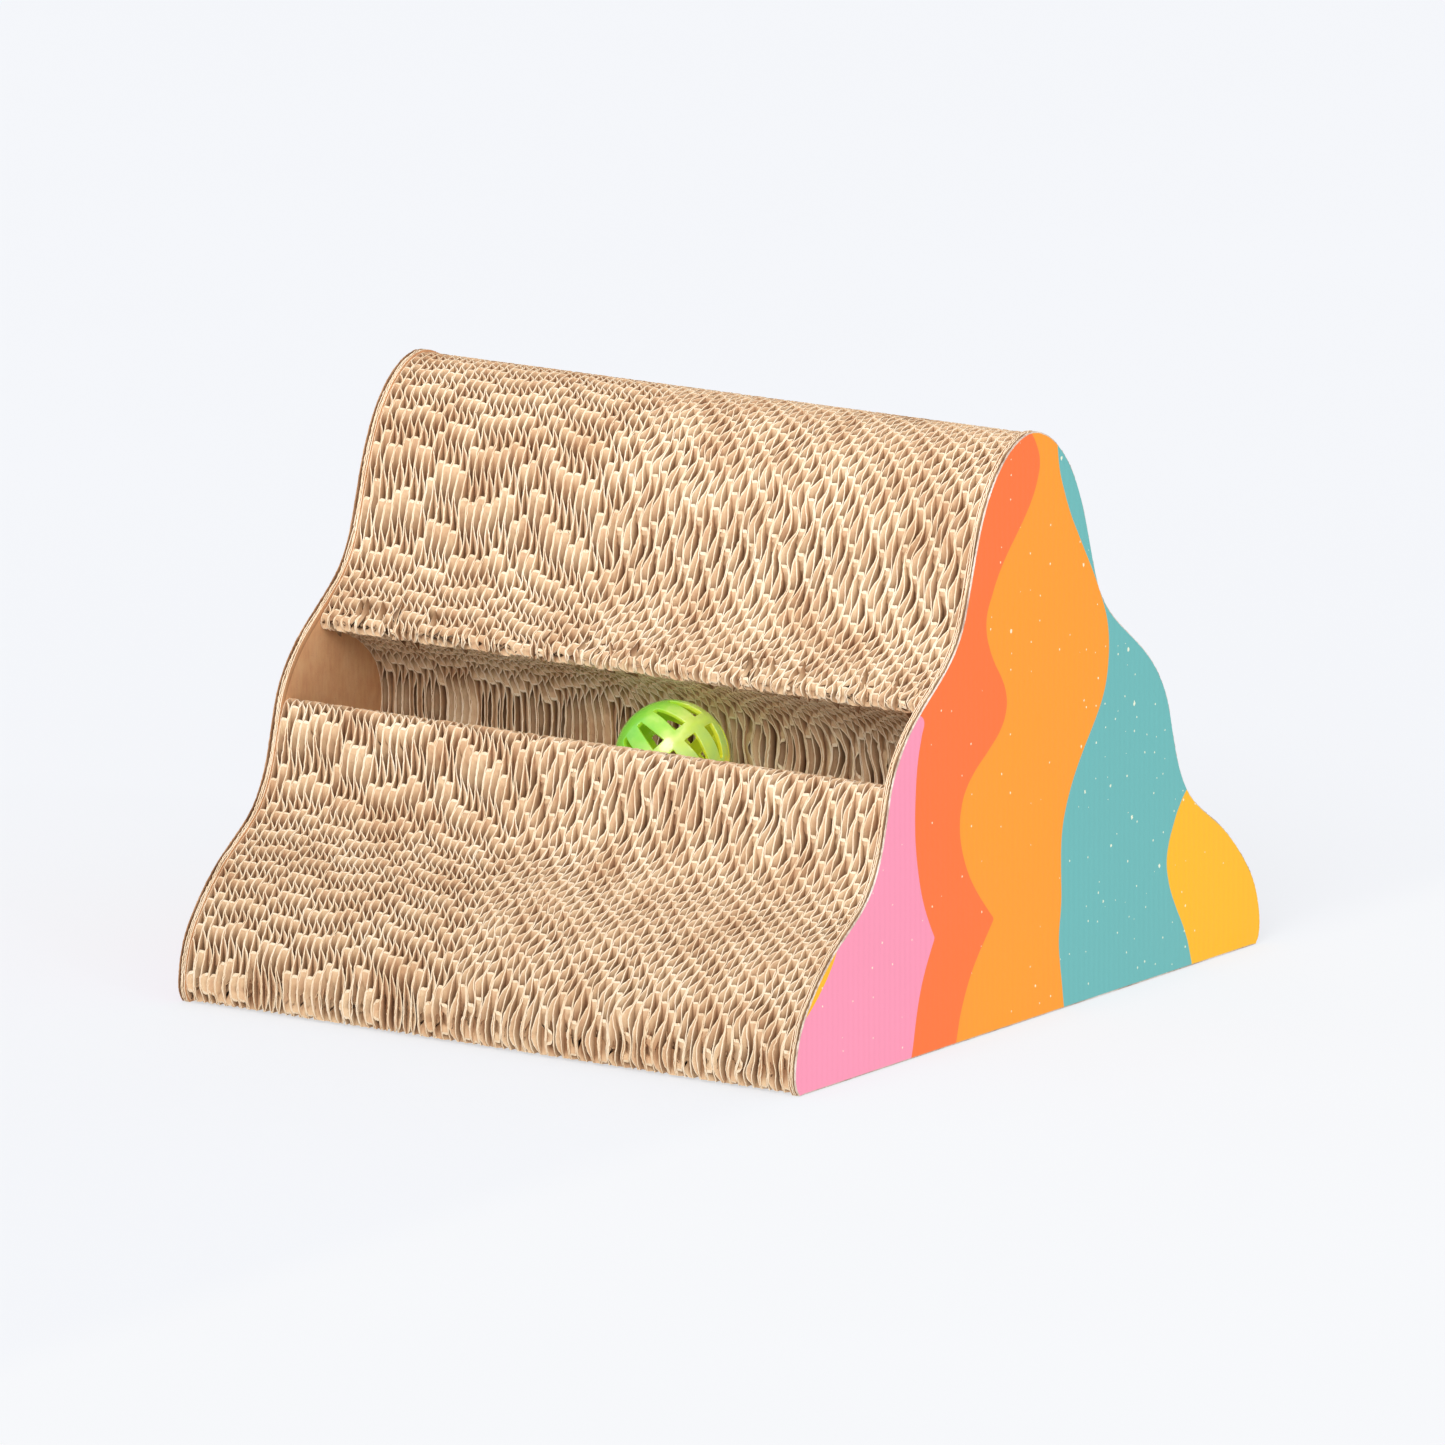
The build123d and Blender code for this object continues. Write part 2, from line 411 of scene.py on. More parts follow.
class Nodes:
    def __init__(self, name):
        self.mat = bpy.data.materials.new(name)
        self.mat.use_nodes = True
        self.t = self.mat.node_tree
        self.bsdf = self.t.nodes["Principled BSDF"]
        self.co = None

    def node(self, kind, **inputs):
        n = self.t.nodes.new(kind)
        for k, v in inputs.items():
            if hasattr(n, k) and not k[0].isupper():
                setattr(n, k, v)
            else:
                self.put(n, k.replace("_", " "), v)
        return n

    def put(self, n, key, v):
        sock = n.inputs[int(key[1:])] if key[0] == "#" else n.inputs[key]
        if isinstance(v, bpy.types.NodeSocket):
            self.t.links.new(v, sock)
        else:
            sock.default_value = v

    def coords(self):
        if self.co is None:
            self.co = self.t.nodes.new("ShaderNodeTexCoord").outputs["Object"]
        return self.co

    def scaled(self, x, y, z):
        m = self.t.nodes.new("ShaderNodeMapping")
        self.t.links.new(self.coords(), m.inputs["Vector"])
        m.inputs["Scale"].default_value = (x, y, z)
        return m.outputs["Vector"]

    def noise(self, scale, detail=3.0, rough=0.55, vector=None):
        n = self.t.nodes.new("ShaderNodeTexNoise")
        self.t.links.new(vector or self.coords(), n.inputs["Vector"])
        n.inputs["Scale"].default_value = scale
        n.inputs["Detail"].default_value = detail
        n.inputs["Roughness"].default_value = rough
        return n.outputs["Fac"]

    def ramp(self, fac, stops, mode="LINEAR"):
        n = self.t.nodes.new("ShaderNodeValToRGB")
        n.color_ramp.interpolation = mode
        el = n.color_ramp.elements
        while len(el) > 1:
            el.remove(el[-1])
        el[0].position, el[0].color = stops[0]
        for p, c in stops[1:]:
            e = el.new(p)
            e.color = c
        self.t.links.new(fac, n.inputs["Fac"])
        return n.outputs["Color"]

    def mix(self, fac, a, b, mode="MIX"):
        n = self.t.nodes.new("ShaderNodeMix")
        n.data_type = "RGBA"
        n.blend_type = mode
        for i, v in ((0, fac), (6, a), (7, b)):
            if isinstance(v, bpy.types.NodeSocket):
                self.t.links.new(v, n.inputs[i])
            else:
                n.inputs[i].default_value = v
        return n.outputs[2]

    def math(self, op, a, b=0.0, c=0.0, clamp=False):
        n = self.t.nodes.new("ShaderNodeMath")
        n.operation = op
        n.use_clamp = clamp
        for i, v in enumerate((a, b, c)):
            if isinstance(v, bpy.types.NodeSocket):
                self.t.links.new(v, n.inputs[i])
            else:
                n.inputs[i].default_value = v
        return n.outputs[0]

    def bump(self, height, strength, distance):
        n = self.t.nodes.new("ShaderNodeBump")
        self.t.links.new(height, n.inputs["Height"])
        n.inputs["Strength"].default_value = strength
        n.inputs["Distance"].default_value = distance
        self.t.links.new(n.outputs["Normal"], self.bsdf.inputs["Normal"])

    def base(self, colour, rough=0.8, **extra):
        for k, v in {"Base Color": colour, "Roughness": rough, **extra}.items():
            if isinstance(v, bpy.types.NodeSocket):
                self.t.links.new(v, self.bsdf.inputs[k])
            else:
                self.bsdf.inputs[k].default_value = v


def kraft(name, dark, mid, light, fibre=900.0, spec=0.25):
    """Brown paper: cloudy tone, long fibres along the flutes, dark and pale flecks, and painted shade down in the
    flutes, low down and to the left.
    """
    m = Nodes(name)
    cloud = m.noise(55.0, 4.0, 0.6)
    tone = m.ramp(cloud, [(0.25, dark), (0.5, mid), (0.78, light)])
    fib = m.noise(1.0, 3.0, 0.6, m.scaled(fibre, fibre, fibre * 0.22))
    tone = m.mix(0.45, tone, m.ramp(fib, [(0.3, dark), (0.7, light)]), "OVERLAY")
    fleck = m.noise(1700.0, 1.0, 0.5)
    tone = m.mix(m.ramp(fleck, [(0.66, (0, 0, 0, 1)), (0.74, (0.45, 0.45, 0.45, 1))]), tone, dark)
    # Down in the flutes the paper is painted darker and browner the deeper it lies under the cut: painted shade in
    # the recesses.
    a = m.t.nodes.new("ShaderNodeAttribute")
    a.attribute_type, a.attribute_name = "GEOMETRY", "deep"
    tone = m.mix(a.outputs["Fac"], tone, m.mix(1.0, tone, (0.44, 0.34, 0.27, 1), "MULTIPLY"))
    # Low down, most of all near the floor, and to the left the board is painted a little darker and duller: painted
    # shade, with a little random mottling.
    sep = m.t.nodes.new("ShaderNodeSeparateXYZ")
    m.t.links.new(m.coords(), sep.inputs[0])
    painted_shade_and_mottle = m.math("ADD", m.math("MULTIPLY", sep.outputs["X"], -0.30), m.math("MULTIPLY_ADD", sep.outputs["Z"], -0.9, 0.15))
    painted_foot_shade = m.math("MULTIPLY", m.math("MAXIMUM", m.math("SUBTRACT", 0.085, sep.outputs["Z"]), 0.0), 2.0)
    painted_shade_and_mottle = m.math("ADD", painted_shade_and_mottle, painted_foot_shade)
    painted_shade_and_mottle = m.math("MULTIPLY_ADD", cloud, 0.10, m.math("ADD", painted_shade_and_mottle, -0.02))
    painted_shade_and_mottle.node.use_clamp = True
    tone = m.mix(painted_shade_and_mottle, tone, m.mix(1.0, tone, (0.5, 0.44, 0.38, 1), "MULTIPLY"))
    m.base(tone, m.ramp(fib, [(0.2, (0.78,) * 3 + (1,)), (0.8, (0.95,) * 3 + (1,))]), **{"Specular IOR Level": spec})
    m.bump(m.math("ADD", m.math("MULTIPLY", fib, 0.7), m.math("MULTIPLY", fleck, 0.5)), 0.55, 0.0002)
    return m.mat


FACE = kraft("kraft_face", srgb(190, 156, 124), srgb(218, 190, 161), srgb(231, 207, 180))
# The cut edges are paler than the faces: partly the raw cut fibres, partly a painted highlight where the edges catch
# the light.
CUT = kraft("kraft_cut_edge", srgb(206, 178, 150), srgb(236, 213, 188), srgb(248, 231, 210), 1400.0)
LINERM = kraft("kraft_liner", srgb(196, 152, 116), srgb(214, 172, 134), srgb(226, 190, 154), 700.0)


def curve(m, z, table, cusp=None, calm=True):
    """A print boundary: the y at which it runs, in metres, for each height z."""
    if calm:
        t = list(table)
        for i in range(1, len(t) - 1):
            if t[i][0] != cusp and t[i][0] < 119:
                table[i] = (t[i][0], 0.25 * t[i - 1][1] + 0.5 * t[i][1] + 0.25 * t[i + 1][1])
            elif t[i][0] != cusp:
                table[i] = (t[i][0], 0.2 * t[i - 1][1] + 0.6 * t[i][1] + 0.2 * t[i + 1][1])
    n = m.t.nodes.new("ShaderNodeFloatCurve")
    c = n.mapping.curves[0]
    pts = [(max(0, zz) / 210.0, (yy + 150.0) / 300.0) for zz, yy in table]
    c.points[0].location = pts[0]
    c.points[1].location = pts[-1]
    for q in pts[1:-1]:
        c.points.new(*q)
    for q in c.points:
        if cusp is not None and abs(q.location[0] - cusp / 210.0) < 1e-4:
            q.handle_type = "VECTOR"
    n.mapping.extend = "HORIZONTAL"
    n.mapping.update()
    m.t.links.new(m.math("DIVIDE", z, 0.210), n.inputs["Value"])
    return m.math("MULTIPLY_ADD", n.outputs["Value"], 0.300, -0.150)


def printed():
    m = Nodes("printed_face")
    sep = m.t.nodes.new("ShaderNodeSeparateXYZ")
    m.t.links.new(m.coords(), sep.inputs[0])
    y, z = sep.outputs["Y"], sep.outputs["Z"]
    zs = [0, 4, 10, 16, 22, 28, 34, 40, 46, 52, 58, 64, 70, 76, 82, 88, 94, 100, 106, 112, 118]
    pink_red = list(zip(zs, [-74, -73, -71.5, -70.5, -68.5, -66.5, -63, -59.5, -63, -66, -68, -69.5, -70.5, -71.5, -71.5,
                             -71.5, -71, -70.5, -69.5, -67.5, -65.5])) + [(120.5, -66.5), (123, -90), (124, -140)]
    zr = zs + [124, 130, 136, 142, 148, 154, 160, 166, 172, 178, 184, 190, 196, 202, 208]
    red_or = list(zip(zr, [-46.5, -45.5, -44, -41, -38, -34, -28, -23, -29, -34, -39, -41, -44, -44, -44, -41, -36.5, -25.5,
                           -17.5, -15, -14.5, -18, -23, -26, -28, -28, -24, -21, -16, -10, -4, 1, 4, 6, 4, -1]))
    or_teal = list(zip(zr, [20.5, 20, 19, 18, 17, 17, 18.5, 19, 18.5, 18.5, 18.5, 19, 21, 23.5, 27, 31, 36, 40.5, 45, 47, 48,
                            48.5, 48, 46.5, 43.5, 40.5, 37, 33, 29.5, 25.5, 22.5, 20, 17.5, 16.5, 16, 15]))
    zt = zs[:12]
    teal_ye = list(zip(zt, [101, 100, 98, 95, 91, 87.5, 85.5, 84, 85.5, 88.5, 92, 96.5])) + [(70, 106), (76, 120), (80, 148)]
    path = outline("right_board_printed_face")[0][::-1]
    path = path[:int(np.argmax(path[:, 1] > 60))]
    sliver = [(zz, float(np.interp(zz, path[:, 1], path[:, 0])) + w)
              for zz, w in ((0, -6), (20, -4), (25, -0.6), (29, 2.3), (34, 3.9), (40, 3.9), (44, 2.4), (48, -0.6), (52, -5))]
    colours = {
        "pink": srgb(246, 146, 174), "red": srgb(250, 112, 40), "orange": srgb(250, 152, 18),
        "teal": srgb(101, 178, 175), "yellow": srgb(250, 182, 0),
    }
    colour = colours["pink"]
    for table, name, cusp in ((pink_red, "red", 40), (red_or, "orange", 40), (or_teal, "teal", None), (teal_ye, "yellow", None)):
        colour = m.mix(m.math("GREATER_THAN", y, curve(m, z, table, cusp)), colour, colours[name])
    colour = m.mix(m.math("LESS_THAN", y, curve(m, z, sliver, None, False)), colour, colours["yellow"])
    # Flutes show through the thin facing as faint upright lines, and the ink is a little cloudy.
    line = m.math("SINE", m.math("MULTIPLY", m.math("ADD", y, m.math("MULTIPLY", m.noise(30.0, 2.0), 0.0012)), 2 * 6.28318 / (PERIOD * MM)))
    cloud = m.noise(26.0, 4.0, 0.6)
    grain = m.noise(1.0, 2.0, 0.6, m.scaled(1900, 1900, 420))
    shade = m.math("ADD", m.math("MULTIPLY", line, 0.008), m.math("MULTIPLY_ADD", cloud, 0.06, 0.955))
    shade = m.math("ADD", shade, m.math("MULTIPLY_ADD", grain, 0.05, -0.025))
    comb = m.t.nodes.new("ShaderNodeCombineColor")
    for i in range(3):
        m.t.links.new(shade, comb.inputs[i])
    colour = m.mix(1.0, colour, comb.outputs[0], "MULTIPLY")
    # Sparse pale specks of dust and chipped ink, most of them on the teal.
    flat = m.t.nodes.new("ShaderNodeCombineXYZ")
    m.t.links.new(y, flat.inputs[0])
    m.t.links.new(m.math("MULTIPLY", z, 0.8), flat.inputs[1])
    on_teal = m.math("MULTIPLY", m.math("GREATER_THAN", y, 0.030), m.math("LESS_THAN", y, 0.098))
    for scale, size, keep, seed in ((165.0, 0.00029, 0.85, 0.0), (64.0, 0.00052, 0.95, 3.7)):
        v = m.t.nodes.new("ShaderNodeTexVoronoi")
        v.voronoi_dimensions = "2D"
        mp = m.t.nodes.new("ShaderNodeMapping")
        mp.inputs["Location"].default_value = (seed, seed, 0)
        m.t.links.new(flat.outputs[0], mp.inputs["Vector"])
        m.t.links.new(mp.outputs["Vector"], v.inputs["Vector"])
        v.inputs["Scale"].default_value = scale
        sc = m.t.nodes.new("ShaderNodeSeparateColor")
        m.t.links.new(v.outputs["Color"], sc.inputs[0])
        lim = m.math("MULTIPLY", m.math("MULTIPLY_ADD", sc.outputs[1], 0.8, 0.45), size * scale)
        dist = m.math("ADD", v.outputs["Distance"], m.math("MULTIPLY_ADD", m.noise(2500.0, 1.0), 0.05, -0.025))
        few = m.math("SUBTRACT", keep, m.math("MULTIPLY", on_teal, 0.30))
        hit = m.math("MULTIPLY", m.math("LESS_THAN", dist, lim), m.math("GREATER_THAN", sc.outputs[0], few))
        pale = m.mix(0.80, colour, srgb(255, 250, 215))
        colour = m.mix(hit, colour, pale)
    rough = m.math("MULTIPLY_ADD", cloud, 0.14, 0.42)
    m.base(colour, rough, **{"Specular IOR Level": 0.4})
    h = m.math("ADD", m.math("MULTIPLY", line, 0.5), m.math("MULTIPLY", grain, 0.35))
    m.bump(h, 0.16, 0.00025)
    return m.mat


PRINT = printed()
WHITE = kraft("white_cut_edge", srgb(140, 116, 98), srgb(212, 196, 182), srgb(246, 240, 234), 700.0)
BROWN = kraft("brown_cut_edge", srgb(120, 90, 66), srgb(182, 146, 112), srgb(222, 196, 166), 1300.0)


def plastic(name, stops, painted_glow):
    m = Nodes(name)
    dot = m.t.nodes.new("ShaderNodeVectorMath")
    dot.operation = "DOT_PRODUCT"
    off = m.t.nodes.new("ShaderNodeVectorMath")
    off.operation = "SUBTRACT"
    m.t.links.new(m.coords(), off.inputs[0])
    off.inputs[1].default_value = tuple(BALL * MM)
    m.t.links.new(off.outputs[0], dot.inputs[0])
    dot.inputs[1].default_value = (0.80, 0.35, -0.49)
    t = m.math("MULTIPLY_ADD", dot.outputs["Value"], 1 / 0.040, 0.5)
    swirl = m.noise(95.0, 3.0, 0.6)
    t = m.math("ADD", t, m.math("MULTIPLY_ADD", swirl, 0.7, -0.35))
    col = m.ramp(t, stops)
    # Emission in the plastic's own colour is painted light: the ball glows, though it is no lamp, to look brighter
    # in the shade of the track.
    m.base(col, m.math("MULTIPLY_ADD", swirl, 0.10, 0.17), **{
        "Transmission Weight": 0.5, "IOR": 1.45, "Coat Weight": 0.6, "Coat Roughness": 0.11,
        "Subsurface Weight": 0.4, "Subsurface Scale": 0.004, "Subsurface Radius": (0.7, 1.0, 0.3),
        "Emission Strength": painted_glow,
    })
    m.t.links.new(col, m.bsdf.inputs["Emission Color"])
    m.bump(swirl, 0.08, 0.0006)
    return m.mat


GREENS = [(0.06, srgb(138, 218, 72)), (0.26, srgb(180, 232, 92)), (0.44, srgb(230, 248, 140)), (0.58, srgb(214, 238, 112)), (0.80, srgb(188, 226, 128)), (1.0, srgb(238, 238, 60))]
YELLOWS = [(0.15, srgb(150, 200, 40)), (0.5, srgb(200, 205, 50)), (0.9, srgb(222, 214, 40))]
PLASTIC = plastic("ball_plastic", GREENS, 0.24)
PLASTIC_IN = plastic("ball_inside", YELLOWS, 0.10)
PLASTIC_RIM = plastic("ball_window_edge", [(0.15, srgb(176, 226, 60)), (0.5, srgb(224, 236, 80)), (0.9, srgb(236, 232, 60))], 0.12)


def metal():
    m = Nodes("bell_metal")
    n = m.noise(900.0, 3.0, 0.6)
    c = m.noise(120.0, 3.0, 0.6)
    m.base(m.ramp(c, [(0.3, srgb(176, 172, 160)), (0.7, srgb(222, 220, 212))]), m.math("MULTIPLY_ADD", n, 0.2, 0.16), **{"Metallic": 1.0})
    m.bump(n, 0.12, 0.0001)
    return m.mat


METAL = metal()

# ---- core ---------------------------------------------------------------------------------------------
FINE = 1.12
WAVY = [0.0, 0.45, 1.5, 3.0, 5.0, 9.0]
FLAT = [0.0, 0.5, 2.2, 7.0]
core_wavy = WavyRim("core_sheets_01", LIFT)
core_flat = flat_rim("core_sheets_01", 1.05 * FINE, 3.0, LIFT)


class Flat:
    lean = 1

    def __init__(self, x):
        self.x = x

    def __call__(self, y):
        return np.full_like(y, self.x), np.zeros_like(y), 0.0


class Wave(Flat):
    def __init__(self, x, phase, lean):
        self.x, self.phase, self.lean = x, phase, lean

    def at(self, y):
        return self.x + AMP * flute(y / PERIOD - self.phase, self.lean)

    def __call__(self, y):
        h = 0.02
        slope = np.clip((self.at(y + h) - self.at(y - h)) / (2 * h), -9, 9)
        return self.at(y), slope, hook(y / PERIOD - self.phase, self.lean)


def left_edge(k):
    return -HALF + GLUE + k * PITCH


for pack in range(SHEETS // PER_PACK):
    b = Builder()
    for k in range(pack * PER_PACK, (pack + 1) * PER_PACK):
        r = np.random.default_rng(1000 + k)
        x0 = left_edge(k)
        # Facing papers: the left one is glued to the neighbour's right one, so the pair is one leaf.
        if k:
            paper(b, core_flat, FLAT, Flat(x0 - GLUE / 2), LEAF, r, 0.15, cap=True)
        else:
            paper(b, core_flat, FLAT, Flat(x0 + LEAF / 4), LEAF / 2, r, 0.12, cap=True)
        lean = 1 if k < TURN else -1
        mid = Wave(x0 + BOARD / 2, PHASE[k], lean)
        rim = core_wavy.sample(mid(core_wavy.p[:, 0])[0], FINE)
        paper(b, rim, WAVY, mid, MEDIUM, r, 0.20)
        if k == SHEETS - 1:
            paper(b, core_flat, FLAT, Flat(x0 + BOARD - LEAF / 4), LEAF / 2, r, 0.12, cap=True)
    o = b.make(f"scratch_core_{pack + 1:02d}", [FACE, CUT])
    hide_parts(f"core_sheets_{pack + 1:02d}")
    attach(o, "scratcher")

# ---- end boards ------------------------------------------------------------------------------------------
hill = flat_rim("right_board_printed_face", 0.7 * FINE, 3.0)


def face_leaf(name, node, x_in, x_out, mats, r):
    """The printed facing: flat print, and a pale torn edge where it was cut."""
    b = Builder()
    sgn = 1 if x_out > x_in else -1
    pts, d = hill.rows([0.0, 0.5, 1.3])
    cols = d.shape[1]
    worn = np.where(hill.top, 1.0, 0.3)
    fray = np.minimum(np.abs(ragged(cols, 0.13, r)) * worn, 0.45)
    inner = np.minimum(np.abs(ragged(cols, 0.18, r)) * worn, 0.6)
    fray[0] = inner[0] = 0
    rim = pts[0] + hill.n * fray[:, None]
    rim_in = pts[0] + hill.n * inner[:, None]
    bev = pts[1] + hill.n * (np.abs(ragged(cols, 0.10, r)) * worn)[:, None] * 0.7
    thin = ragged(cols, 0.06, r) * sgn
    col = lambda x, p: np.c_[np.full(len(p), 1.0) * x, np.maximum(p, [-999, 0.0])]
    rings = [col(x_in, pts[2]), col(x_in + np.abs(thin), rim_in), col(x_out - sgn * 0.30 + thin, rim),
             col(x_out - sgn * 0.12, 0.5 * rim + 0.5 * bev), col(x_out - sgn * 0.01, bev), col(x_out, pts[2])]
    up = sgn > 0
    for i, (a, c) in enumerate(zip(rings, rings[1:])):
        b.add(np.vstack([a, c]), band(2, cols, not up), 0 if i == 4 else 1, i == 4)
    ring = np.arange(cols)[None]
    b.add(rings[-1], ring if up else ring[:, ::-1], 0, False)
    b.add(rings[0], ring[:, ::-1] if up else ring, 1, False)
    o = b.make(name, mats)
    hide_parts(node)
    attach(o, "scratcher")


class Pressed(Flat):
    """The flutes of an end board, pressed flat along its cut edge, so the paper only wanders."""

    def __init__(self, x, r):
        self.x, self.a, self.p, self.w = x, r.uniform(0.05, 0.12, 4), r.uniform(0, 6.28, 4), r.uniform(0.25, 0.9, 4)

    def at(self, y):
        return self.x + sum(self.a[i] * np.sin(self.w[i] * y + self.p[i]) for i in range(4))

    def __call__(self, y):
        return self.at(y), (self.at(y + 0.05) - self.at(y - 0.05)) / 0.1, 0.0


for sgn, side in ((-1, "left"), (1, "right")):
    r = np.random.default_rng(50 + sgn)
    b = Builder()
    paper(b, hill, [0.0, 0.5, 2.2], Flat(sgn * (HALF + LINER / 2)), LINER, r, 0.10, False, True)
    o = b.make(f"{side}_inner_paper", [LINERM, CUT])
    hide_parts(f"{side}_board_inner_liner")
    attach(o, "scratcher")
    b = Builder()
    at = HALF + LINER
    for x, thick in ((at + 0.52, 0.42), (at + 1.12, 0.36)):
        paper(b, hill, [0.0, 0.45, 1.6, 5.0], Pressed(sgn * x, r), thick, r, 0.20, False)
    o = b.make(f"{side}_fluted_paper", [FACE, CUT])
    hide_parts(f"{side}_board_fluted_layer")
    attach(o, "scratcher")
    x_out = sgn * (HALF + LINER + FLUTE + LINER)
    face_leaf(f"{side}_print", f"{side}_board_printed_face", x_out - sgn * 0.52, x_out, [PRINT, WHITE if sgn > 0 else BROWN], r)

# ---- ball ----------------------------------------------------------------------------------------------------
POLE = np.array([-0.750, -0.096, 0.654])
POLE /= np.linalg.norm(POLE)
MERID = np.array([0.4135, -0.8405, 0.3502])
MERID -= POLE * MERID.dot(POLE)
MERID /= np.linalg.norm(MERID)
EAST = np.cross(POLE, MERID)


def ball_half(name, node, sign):
    """A hemisphere of twelve ribs that leave the rim band and meet in a cap, with open windows."""
    lats = [-1.2, 0.8, 3.5, 6.0, 7.2, 10, 15, 20, 25, 30, 35, 40, 43.3, 45, 49, 55, 62, 70, 80]
    low, high = 4, 12
    verts, faces = [], []
    grid = []
    for lat in lats:
        t = min(max((lat - 7.2) / (43.3 - 7.2), 0), 1)
        half = 2.6 - 1.7 * t
        w = math.degrees(half / (BALL_R * math.cos(math.radians(min(lat, 60)))))
        q = min(1.6, (15 - w) * 0.4)
        row = []
        for k in range(12):
            for off in (-15, -(15 + w) / 2 - q / 2, -w - q, -w, 0, w, w + q, (15 + w) / 2 + q / 2):
                lon = math.radians(-1.4 + 30 * k + off)
                la = math.radians(lat) * sign
                v = (MERID * math.cos(lon) + EAST * math.sin(lon)) * math.cos(la) + POLE * math.sin(la)
                row.append(len(verts))
                verts.append(tuple((BALL + v * BALL_R) * MM))
        grid.append(row)
    n = len(grid[0])
    for i in range(len(lats) - 1):
        for j in range(n):
            if low <= i < high and j % 8 in (3, 4):
                continue
            f = (grid[i][j], grid[i][(j + 1) % n], grid[i + 1][(j + 1) % n], grid[i + 1][j])
            faces.append(f if sign > 0 else f[::-1])
    top = len(verts)
    verts.append(tuple((BALL + POLE * sign * BALL_R) * MM))
    for j in range(n):
        f = (grid[-1][j], grid[-1][(j + 1) % n], top)
        faces.append(f if sign > 0 else f[::-1])
    me = bpy.data.meshes.new(name)
    me.from_pydata(verts, [], faces)
    for m in (PLASTIC, PLASTIC_IN, PLASTIC_RIM):
        me.materials.append(m)
    used = {v for f in faces for v in f}
    import bmesh

    bm = bmesh.new()
    bm.from_mesh(me)
    bmesh.ops.delete(bm, geom=[v for v in bm.verts if not v.link_faces], context="VERTS")
    bmesh.ops.recalc_face_normals(bm, faces=bm.faces)
    c = Vector((BALL * MM).tolist())
    if sum((f.calc_center_median() - c).dot(f.normal) for f in bm.faces) < 0:
        bmesh.ops.reverse_faces(bm, faces=bm.faces)
    bm.to_mesh(me)
    bm.free()
    o = bpy.data.objects.new(name, me)
    bpy.context.scene.collection.objects.link(o)
    for p in me.polygons:
        p.use_smooth = True
    m = o.modifiers.new("wall", "SOLIDIFY")
    m.thickness, m.offset = 0.0016, -1
    m.material_offset, m.material_offset_rim = 1, 2
    m = o.modifiers.new("bevel", "BEVEL")
    m.width, m.segments, m.limit_method, m.angle_limit = 0.00030, 2, "ANGLE", math.radians(50)
    m = o.modifiers.new("round", "SUBSURF")
    m.levels = m.render_levels = 1
    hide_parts(node)
    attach(o, "ball")


ball_half("ball_upper", "ball_upper_shell", 1)
ball_half("ball_lower", "ball_lower_shell", -1)
for n in ("bell_upper_cup", "bell_lower_cup", "bell_pellet"):
    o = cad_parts[n]
    o.data.materials.clear()
    o.data.materials.append(METAL)

# ---- camera and light ------------------------------------------------------------------------------------
cam = bpy.data.objects.new("camera", bpy.data.cameras.new("camera"))
bpy.context.scene.collection.objects.link(cam)
az, el, roll = math.radians(34.6306), math.radians(12.2475), math.radians(-0.1245)
back = Vector((math.sin(az) * math.cos(el), -math.cos(az) * math.cos(el), math.sin(el)))
right = Vector((math.cos(az), math.sin(az), 0))
up = back.cross(right)
cam.location = back * 8.0 + right * 0.0004 + up * 0.0872
cam.rotation_mode = "QUATERNION"
from mathutils import Matrix

r2 = right * math.cos(roll) + up * math.sin(roll)
u2 = back.cross(r2)
cam.rotation_quaternion = Matrix((r2, u2, back)).transposed().to_quaternion()
cam.data.sensor_width = 36
cam.data.lens = 36 * 22923.18 / 1445
cam.data.clip_start, cam.data.clip_end = 0.5, 60
bpy.context.scene.camera = cam

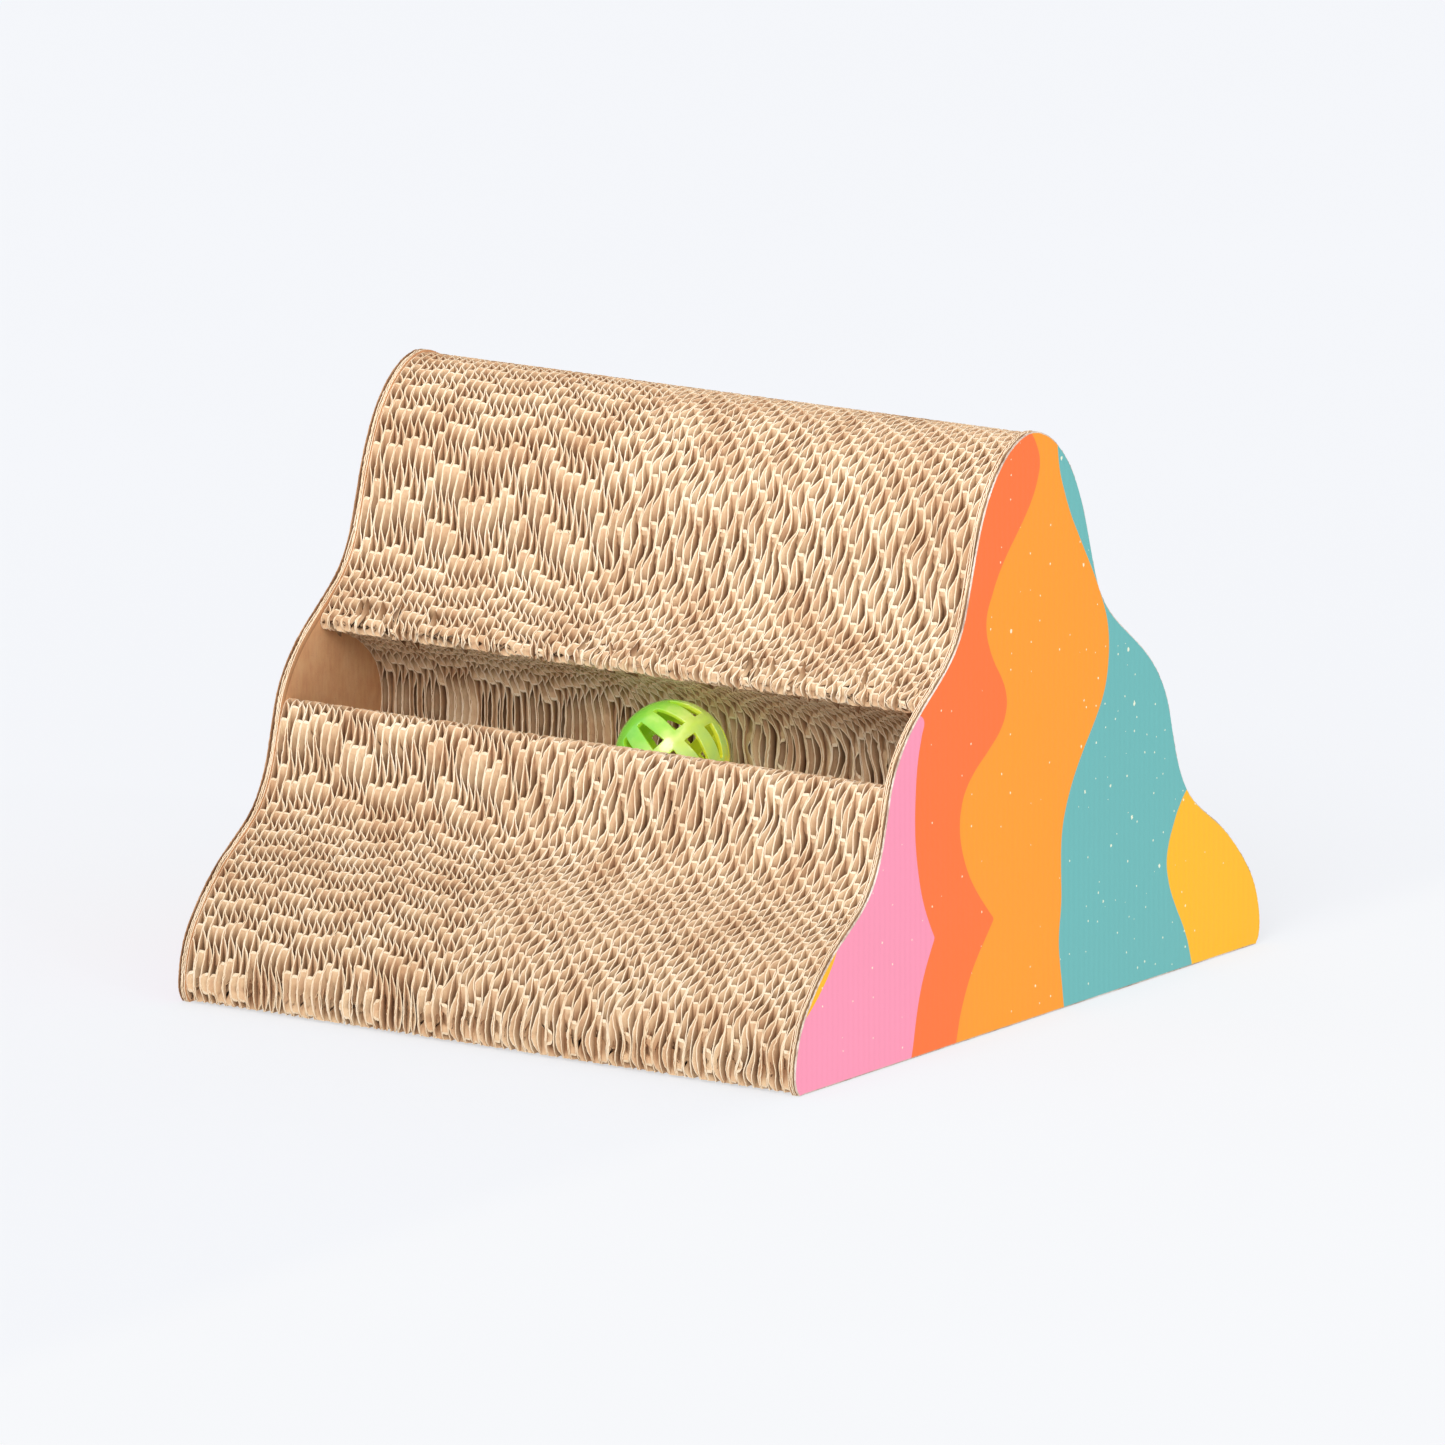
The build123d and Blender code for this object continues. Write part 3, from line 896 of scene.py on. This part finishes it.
floor_mesh = bpy.data.meshes.new("floor")
floor_mesh.from_pydata([(-30, -30, 0), (30, -30, 0), (30, 30, 0), (-30, 30, 0)], [], [(0, 1, 2, 3)])
floor = bpy.data.objects.new("floor", floor_mesh)
floor.location.z = -0.0003
bpy.context.scene.collection.objects.link(floor)
fm = Nodes("floor_white")
# The floor is a lit sweep: it glows a little, and more to the right, where the photo shows no shadow.
sep = fm.t.nodes.new("ShaderNodeSeparateXYZ")
fm.t.links.new(fm.coords(), sep.inputs[0])
mr = fm.t.nodes.new("ShaderNodeMapRange")
mr.interpolation_type = "SMOOTHSTEP"
fm.t.links.new(sep.outputs["X"], mr.inputs["Value"])
for k, v in (("From Min", 0.110), ("From Max", 0.150), ("To Min", 0.0), ("To Max", 1.0)):
    mr.inputs[k].default_value = v
tone = fm.mix(mr.outputs[0], (0.28, 0.284, 0.294, 1), (0.07, 0.071, 0.0735, 1))
tone = fm.mix(fm.noise(3.0, 2.0), tone, fm.mix(0.02, tone, (0.9, 0.9, 0.9, 1)))
fm.base(tone, 0.9, **{"Specular IOR Level": 0.0, "Emission Color": (0.97, 0.98, 1.0, 1)})
fm.t.links.new(fm.math("MULTIPLY_ADD", mr.outputs[0], 0.265, 0.603), fm.bsdf.inputs["Emission Strength"])
floor_mesh.materials.append(fm.mat)

world = bpy.data.worlds.new("studio")
bpy.context.scene.world = world
world.use_nodes = True
world.node_tree.nodes["Background"].inputs["Color"].default_value = (0.93, 0.95, 1.0, 1)
world.node_tree.nodes["Background"].inputs["Strength"].default_value = 0.82


def sun(name, direction, strength, angle, colour=(1, 1, 1)):
    l = bpy.data.lights.new(name, "SUN")
    l.energy, l.angle, l.color = strength, math.radians(angle), colour
    o = bpy.data.objects.new(name, l)
    o.rotation_mode = "QUATERNION"
    o.rotation_quaternion = Vector(direction).to_track_quat("Z", "Y")
    bpy.context.scene.collection.objects.link(o)
    return o


sun("key", (0.28, -0.77, 0.62), 1.50, 28, (1, 0.995, 0.985))
sun("side", (0.62, -0.77, 0.13), 0.70, 50, (0.985, 0.99, 1))
sun("fill", (-0.35, -0.90, 0.18), 0.50, 50, (1, 0.995, 0.985))
sun("spark", (0.95, -0.22, 0.50), 0.14, 5, (1, 1, 1))

bpy.context.scene.view_settings.view_transform = "Standard"
